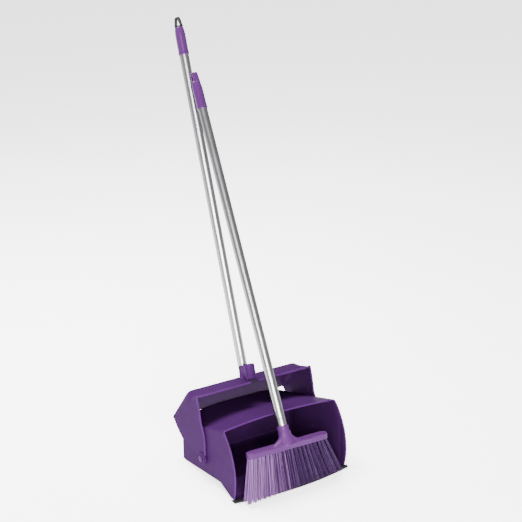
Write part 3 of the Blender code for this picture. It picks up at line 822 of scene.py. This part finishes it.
def socket_parts():
    """The pedestal with its spigot, the clip, the webs between them and the clip's ribs."""
    bore = TUBE_RADIUS - TUBE_WALL - 0.0002
    pedestal = [
        (0, -0.0345), (0.0158, -0.0345), (0.0138, -0.030), (0.0125, -0.022), (0.0116, -0.010),
        (0.0114, -0.002), (0.0110, -0.0003), (bore, -0.0003), (bore, 0.043), (bore - 0.002, 0.045),
        (0, 0.045),
    ]
    parts = [turned_mesh(pedestal, 48)]
    inner = arc_points(CLIP_INNER, -CLIP_OFFSET, 0, math.pi, 20)
    outer = arc_points(CLIP_OUTER, -CLIP_OFFSET, math.pi, 0, 20)
    front = -CLIP_OFFSET - CLIP_ARM
    outline = [(CLIP_INNER, front)] + inner + [(-CLIP_INNER, front), (-CLIP_OUTER, front)] + outer
    outline += [(CLIP_OUTER, front)]
    parts.append(box_mesh([(x, y, CLIP_FOOT) for x, y in outline], (0, 0, 1), CLIP_TOP - CLIP_FOOT))
    back = -CLIP_OFFSET + CLIP_OUTER - 0.002
    for x0, x1 in ((-0.0100, -0.0055), (0.0055, 0.0100), (-0.0022, 0.0022)):
        web = [(x0, -0.004), (x1, -0.004), (x1, back), (x0, back)]
        parts.append(box_mesh([(x, y, CLIP_FOOT) for x, y in web], (0, 0, 1), CLIP_TOP - 0.004 - CLIP_FOOT))
    for angle in (50, 90, 130):
        a = math.radians(angle)
        rib = Vector((CLIP_INNER * math.cos(a), -CLIP_OFFSET + CLIP_INNER * math.sin(a), 0))
        low, high = rib + Vector((0, 0, CLIP_FOOT)), rib + Vector((0, 0, CLIP_TOP - 0.001))
        parts.append(tube_mesh([low, low.lerp(high, 0.5), high], 0.0007, 8))
    return parts


# The socket is the same purple moulding, drawn in the lit copy of the plastic: painted light.
socket = joined("handle_socket", [moved(part, HANDLE_FRAME) for part in socket_parts()], painted_light_plastic)
soften(socket, 0.0006, 2, 40.0)
piece(socket, HANDLE, "purple")

# ----------------------------------------------------------- tubes and grips


def tube_profile(low, high):
    """A tube's wall, from one end to the other, with its outer edges broken."""
    inner = TUBE_RADIUS - TUBE_WALL
    soft = 0.0004
    return [
        (TUBE_RADIUS - soft, low), (TUBE_RADIUS, low + soft), (TUBE_RADIUS, high - soft),
        (TUBE_RADIUS - soft, high), (inner, high), (inner, low),
    ]


def grip_mesh():
    """The cap over a tube's end: a flared rim, a long body and a rounded shoulder."""
    r = GRIP_RADIUS
    bore = TUBE_RADIUS + TUBE_GAP
    profile = [
        (bore, 0.0), (r - 0.0008, 0.0), (r - 0.0002, 0.0006), (r, 0.0016), (r, 0.0050), (r - 0.0003, 0.0070),
        (r - 0.0005, 0.0100), (r - 0.0005, GRIP_LENGTH - 0.022), (r - 0.0008, GRIP_LENGTH - 0.016),
        (r - 0.0014, GRIP_LENGTH - 0.010), (r - 0.0024, GRIP_LENGTH - 0.004),
        (LOOP_HALF + 0.0002, GRIP_LENGTH - 0.0008), (LOOP_HALF - 0.0006, GRIP_LENGTH),
        (0, GRIP_LENGTH), (0, GRIP_BORE), (bore, GRIP_BORE),
    ]
    return turned_mesh(profile)


def loop_ring(turn, foot, thickness):
    """A hanging loop as one closed band, flush with the grip below."""
    across = Vector((math.cos(turn), math.sin(turn), 0))
    normal = Vector((-math.sin(turn), math.cos(turn), 0))
    up = Vector((0, 0, 1))
    round_top = LOOP_HALF * LOOP_NARROWING
    centre = LOOP_LENGTH - round_top
    path_out, path_in = [], []
    steps, limb = 16, 4
    for i in range(limb + 1):
        t = i / limb
        narrowing = (round_top - LOOP_HALF) * t
        path_out.append((LOOP_HALF + narrowing, foot + (centre - foot) * t))
        path_in.append((LOOP_HALF - LOOP_LIMB + narrowing, LOOP_LIMB + (centre - LOOP_LIMB) * t))
    for i in range(1, steps):
        a = math.pi * i / steps
        path_out.append((round_top * math.cos(a), centre + round_top * math.sin(a)))
        thin = round_top - LOOP_LIMB * 0.9
        path_in.append((thin * math.cos(a), centre + thin * math.sin(a)))
    path_out += [(-x, z) for x, z in path_out[limb::-1]]
    path_in += [(-x, z) for x, z in path_in[limb::-1]]
    verts = []
    half = thickness / 2
    for (xo, zo), (xi, zi) in zip(path_out, path_in):
        for x, z, d in ((xo, zo, -half), (xo, zo, half), (xi, zi, half), (xi, zi, -half)):
            verts.append(across * x + up * z + normal * d)
    n = len(path_out)
    faces = grid_faces(n, 4, wrap=True)
    last = (n - 1) * 4
    faces += [(3, 2, last + 2, last + 3), (0, 3, last + 3, last)]
    faces += [(1, 2, last + 2, last + 1), (0, 1, last + 1, last)]
    return verts, faces


handle_top = HANDLE_LENGTH - LOOP_LENGTH - GRIP_LENGTH
handle_profile = tube_profile(0.0, handle_top + GRIP_BORE - TUBE_GAP)
handle_tube = turned("handle_tube_skin", handle_profile, HANDLE_FRAME, tube_metal)
piece(handle_tube, HANDLE, "tube", "handle_tube")
cap = moved(grip_mesh(), raised(HANDLE_FRAME, handle_top))
handle_grip = joined("handle_grip_cap", [cap], grip_plastic)
piece(handle_grip, HANDLE, "purple", "handle_grip")
loop = moved(loop_ring(0.0, 0.0003, LOOP_THICKNESS), raised(HANDLE_FRAME, HANDLE_LENGTH - LOOP_LENGTH))
hang_loop = joined("black_hang_loop", [loop], loop_plastic)
soften(hang_loop, 0.0012, 3, 40.0)
piece(hang_loop, HANDLE, "loop", "handle_hang_loop")

side_share = math.cos(BROOM_SIDE)
BROOM_UP = (-math.sin(BROOM_SIDE), math.sin(BROOM_LEAN) * side_share, math.cos(BROOM_LEAN) * side_share)
BROOM_FRAME = frame_along(HEAD_CENTRE, BROOM_UP)
broom_top = BROOM_LENGTH - LOOP_LENGTH - GRIP_LENGTH
broom_profile = tube_profile(NECK_BORE_FROM + TUBE_GAP, broom_top + GRIP_BORE - TUBE_GAP)
broom_tube = turned("broom_tube_skin", broom_profile, BROOM_FRAME, tube_metal)
piece(broom_tube, BROOM, "tube", "broom_tube")
cap = moved(grip_mesh(), raised(BROOM_FRAME, broom_top))
loop = loop_ring(math.pi / 2, -0.004, BROOM_LOOP_THICKNESS)
broom_loop = moved(loop, raised(BROOM_FRAME, BROOM_LENGTH - LOOP_LENGTH))
broom_grip = joined("broom_grip_cap", [cap, broom_loop], grip_plastic)
soften(broom_grip, 0.0010, 3, 55.0)
piece(broom_grip, BROOM, "purple", "broom_grip")

# ---------------------------------------------------------------- broom head

HEAD_ACROSS = Vector((math.cos(HEAD_ROLL), 0, -math.sin(HEAD_ROLL)))
HEAD_RISE = HEAD_CENTRE - TIP_CENTRE
HEAD_FRAME = frame_along(HEAD_CENTRE, HEAD_RISE - HEAD_RISE.dot(HEAD_ACROSS) * HEAD_ACROSS, HEAD_ACROSS)


def bar_mesh():
    """The bar that holds the tufts, with round ends."""
    half, ends = HEAD_LENGTH / 2, HEAD_DEPTH / 2
    arc = [-math.pi / 2 + math.pi * i / 16 for i in range(17)]
    right = [(half - ends + ends * math.cos(a), ends * math.sin(a), -HEAD_THICKNESS / 2) for a in arc]
    outline = right + [(-x, -y, z) for x, y, z in right]
    return box_mesh(outline, (0, 0, 1), HEAD_THICKNESS)


def flare_mesh():
    """The web that runs from the bar up into the neck, wide at its foot and hollow-sided."""
    verts = []
    steps, sides = 12, 24
    for i in range(steps + 1):
        t = i / steps
        half = FLARE_TOP[0] + FLARE_FOOT_EXTRA[0] * (1 - t) ** FLARE_CURVE
        deep = FLARE_TOP[1] + FLARE_FOOT_EXTRA[1] * (1 - t)
        for k in range(sides):
            a = 2 * math.pi * k / sides
            c, s = math.cos(a), math.sin(a)
            x = half * math.copysign(abs(c) ** FLARE_SQUARENESS, c)
            y = deep * math.copysign(abs(s) ** FLARE_SQUARENESS, s)
            verts.append(Vector((x, y, FLARE_HEIGHT * t)))
    faces = grid_faces(steps + 1, sides, wrap=True)
    faces += [tuple(range(sides)), tuple(range(len(verts) - sides, len(verts)))]
    return verts, faces


def remesh(obj, voxel, smoothing):
    """Melts an object's overlapping shells into one skin and relaxes it."""
    step = obj.modifiers.new("Remesh", "REMESH")
    step.mode = "VOXEL"
    step.voxel_size = voxel
    relax = obj.modifiers.new("Relax", "SMOOTH")
    relax.factor = 0.5
    relax.iterations = smoothing
    apply_modifiers(obj, 0)


neck = [
    (0, -0.002), (0.0205, -0.002), (0.0200, 0.004), (0.0182, 0.012), (0.0165, 0.020), (0.0154, 0.028),
    (NECK_RADIUS + 0.0002, 0.036), (NECK_RADIUS, NECK_TOP - 0.0006), (NECK_RADIUS - 0.0006, NECK_TOP),
    (0, NECK_TOP),
]
bar = moved(bar_mesh(), HEAD_FRAME)
flare = moved(flare_mesh(), HEAD_FRAME @ Matrix.Rotation(FLARE_TILT, 4, "X"))
head = joined("broom_head_shell", [bar, flare, moved(turned_mesh(neck, 48), BROOM_FRAME)], head_plastic)
remesh(head, HEAD_VOXEL, 5)
bore = TUBE_RADIUS + TUBE_GAP
bore_profile = [(0, NECK_BORE_FROM), (bore, NECK_BORE_FROM), (bore, 0.1), (0, 0.1)]
cutter = turned("cutter", bore_profile, BROOM_FRAME, head_plastic, 48)
cut(head, cutter)
piece(head, BROOM, "purple", "broom_head")

# ------------------------------------------------------------------- bristles


def strand(root, tip, radius, bend, sides=4, steps=5):
    """One filament: a slim rod that leaves its root straight and curls a little to its tip."""
    verts = []
    run = tip - root
    tangent = run.normalized()
    normal = Vector((1, 0, 0)) - tangent.x * tangent
    normal.normalize()
    side = tangent.cross(normal)
    for i in range(steps + 1):
        t = i / steps
        centre = root + run * t + bend * math.sin(math.pi * t) + bend * 0.6 * t * t
        r = radius * (1.0 - 0.25 * t)
        for k in range(sides):
            a = 2 * math.pi * (k + 0.5) / sides
            verts.append(centre + r * (normal * math.cos(a) + side * math.sin(a)))
    faces = grid_faces(steps + 1, sides, wrap=True)
    faces += [tuple(range(sides)), tuple(range(steps * sides, steps * sides + sides))]
    return verts, faces


def bristle_row(row, seed):
    """One row of tufts as single filaments, with a tone for each vertex that mixes random tone with painted
    light and shade.
    """
    rng = random.Random(seed)
    across, deep, up = (Vector(HEAD_FRAME.col[i][:3]) for i in range(3))
    foot = HEAD_CENTRE - up * (HEAD_THICKNESS / 2 - 0.001)
    side = 2 * row - 1
    parts, tones = [], []
    for column in range(TUFT_COLUMNS):
        share = column / (TUFT_COLUMNS - 1) - 0.5
        root_centre = foot + across * (share * TUFT_ROOT_SPAN) + deep * (side * TUFT_ROOT_ROW)
        behind = share * TIP_TWIST + side * TUFT_TIP_ROW
        tip_centre = TIP_CENTRE + Vector((share * TUFT_TIP_SPAN, behind, -0.0012))
        # Painted light and shade: tufts left of the turn are made lighter and those right of it darker, on
        # top of each tuft's random tone.
        tuft_tone_and_painted_light = rng.uniform(-0.06, 0.06) + max(PAINTED_SHADE_LOWEST, PAINTED_LIGHT_FALL * (share - PAINTED_LIGHT_TURN))
        variety = TONE_VARIETY[0] if share < PAINTED_LIGHT_TURN else TONE_VARIETY[1]
        for _ in range(FILAMENTS):
            a, r = rng.uniform(0, 2 * math.pi), math.sqrt(rng.random())
            spot = Vector((math.cos(a) * r, math.sin(a) * r))
            spread = TUFT_TIP_RADIUS * rng.uniform(0.75, 1.12)
            root = root_centre + across * spot.x * TUFT_ROOT_RADIUS + deep * spot.y * TUFT_ROOT_RADIUS
            tip = tip_centre + across * spot.x * spread + deep * spot.y * spread
            tip.z += rng.uniform(-0.0014, 0.0016)
            bend = Vector((rng.uniform(-0.0009, 0.0009), rng.uniform(-0.0009, 0.0009), 0))
            verts, faces = strand(root, tip, FILAMENT_RADIUS * rng.uniform(0.85, 1.15), bend)
            parts.append((verts, faces))
            tone_and_painted_light = min(1.0, max(0.0, 0.5 + tuft_tone_and_painted_light + rng.gauss(0, variety)))
            tones += [tone_and_painted_light] * len(verts)
    return parts, tones


for row, name in ((0, "front"), (1, "back")):
    parts, tones = bristle_row(row, BRISTLE_SEED + row)
    strands = joined(f"bristles_{name}", parts, fibre, 60.0)
    attribute = strands.data.attributes.new("tone_and_painted_light", "FLOAT", "POINT")
    attribute.data.foreach_set("value", tones)
    piece(strands, BROOM, "bristle", *[f"tuft_{name}_{i:02d}" for i in range(1, TUFT_COLUMNS + 1)])

# ---------------------------------------------------------- small hard pieces


def dress(node, mat):
    """Gives a CAD node that stays as it is its material."""
    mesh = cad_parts[node].data
    mesh.materials.clear()
    mesh.materials.append(mat)


dress("handle_rivet", steel)
dress("broom_rivet", steel)

for sign, side in ((-1, "left"), (1, "right")):
    seat = COVER_HALF + BOSS_HEIGHT + 0.0003
    inside = PAN_HALF - PAN_WALL
    profile = [
        (0, inside), (0.0040, inside), (0.0045, inside + 0.0006), (0.0045, seat), (0.0083, seat),
        (0.0085, seat + 0.0004), (0.0080, seat + 0.0011), (0.0066, seat + 0.0017), (0.0045, seat + 0.0021),
        (0.0022, seat + 0.00225), (0, seat + 0.0023),
    ]
    place = frame_along((0, PIVOT_Y, PIVOT_Z), (sign, 0, 0), (0, 1, 0))
    # The pin heads take the lit copy of the plastic: painted light on the bosses.
    pin = turned(f"pivot_pin_head_{side}", profile, place, painted_light_plastic, 40)
    piece(pin, HANDLE, "purple", f"pivot_pin_{side}")

# --------------------------------------------------- floor, lights and camera


FLOOR_HALF = 16.0
FLOOR_DROP = 0.0004  # keeps the floor clear of the pan's underside
FLOOR_GLOW = 2.3
WORLD_GLOW = 0.5


def make_floor():
    corners = ((-1, -1), (1, -1), (1, 1), (-1, 1))
    verts = [Vector((x * FLOOR_HALF, y * FLOOR_HALF, -FLOOR_DROP)) for x, y in corners]
    m = Nodes("pale_floor")
    m.link(
        m.ramp(m.noise(3.0, 2.0), [(0.3, (0.86, 0.86, 0.86)), (0.7, (0.89, 0.89, 0.89))]),
        m.shader.inputs["Base Color"],
    )
    m.shader.inputs["Roughness"].default_value = 0.9
    m.shader.inputs["Specular IOR Level"].default_value = 0.1
    m.shader.inputs["Emission Color"].default_value = (1, 1, 1, 1)
    m.shader.inputs["Emission Strength"].default_value = FLOOR_GLOW
    ground = mesh_object("studio_floor", verts, [(0, 1, 2, 3)], m.mat, 0)


def area_light(name, place, aim, size, power):
    data = bpy.data.lights.new(name, "AREA")
    data.shape = "RECTANGLE"
    data.size, data.size_y = size
    data.energy = power
    obj = bpy.data.objects.new(name, data)
    obj.location = place
    obj.rotation_euler = (Vector(aim) - Vector(place)).to_track_quat("-Z", "Y").to_euler()
    bpy.context.scene.collection.objects.link(obj)


make_floor()
area_light("key_left", (-2.4, -1.85, 0.45), (0, -0.25, 0.08), (0.35, 0.35), 9)
area_light("front_panel", (-1.6, -3.5, 1.45), (0, 0.1, 0.35), (2.0, 1.5), 520)
area_light("top_soft", (-0.3, 1.1, 2.9), (0, -0.1, 0.2), (1.5, 1.5), 420)

world = bpy.data.worlds.new("studio")
world.use_nodes = True
world.node_tree.nodes["Background"].inputs["Color"].default_value = (1, 1, 1, 1)
world.node_tree.nodes["Background"].inputs["Strength"].default_value = WORLD_GLOW
bpy.context.scene.world = world

camera_data = bpy.data.cameras.new("camera")
camera_data.sensor_width = 36.0
camera_data.lens = 90.04
camera = bpy.data.objects.new("camera", camera_data)
camera_right = Vector((0.85354, -0.52081, -0.01480))
camera_up = Vector((0.19033, 0.28524, 0.93937))
camera_back = Vector((-0.48501, -0.80461, 0.34259))
turn = Matrix((camera_right, camera_up, camera_back)).transposed().to_4x4()
camera.matrix_world = Matrix.Translation((-1.5526, -2.7039, 1.6554)) @ turn
bpy.context.scene.collection.objects.link(camera)
bpy.context.scene.camera = camera
